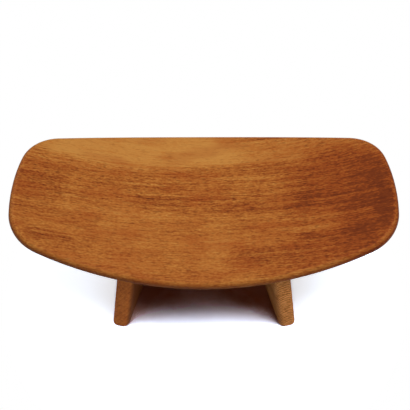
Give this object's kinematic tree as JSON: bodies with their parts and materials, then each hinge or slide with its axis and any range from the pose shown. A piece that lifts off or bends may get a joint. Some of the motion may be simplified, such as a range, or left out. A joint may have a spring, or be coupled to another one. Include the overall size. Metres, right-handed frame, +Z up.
{
  "type": "meditation stool",
  "caption": "Low wooden kneeling stool with a dished, forward-sloping seat with round corners on splayed board legs joined by hidden dowels.",
  "frame": {"origin": "on the floor, under the middle of the seat", "axes": "+X along the seat towards its right end as seen from the front, +Y towards the back, +Z up"},
  "size_m": [0.4574, 0.2254, 0.1933],
  "materials": {
    "seat_wood": "satin oil",
    "leg_wood": "satin oil",
    "dowel_wood": "bare"
  },
  "bodies": {
    "root": {"seat": "seat_wood", "left_leg": "leg_wood", "right_leg": "leg_wood", "left_front_dowel": "dowel_wood", "left_middle_dowel": "dowel_wood", "left_rear_dowel": "dowel_wood", "right_front_dowel": "dowel_wood", "right_middle_dowel": "dowel_wood", "right_rear_dowel": "dowel_wood"}
  },
  "joints": []
}
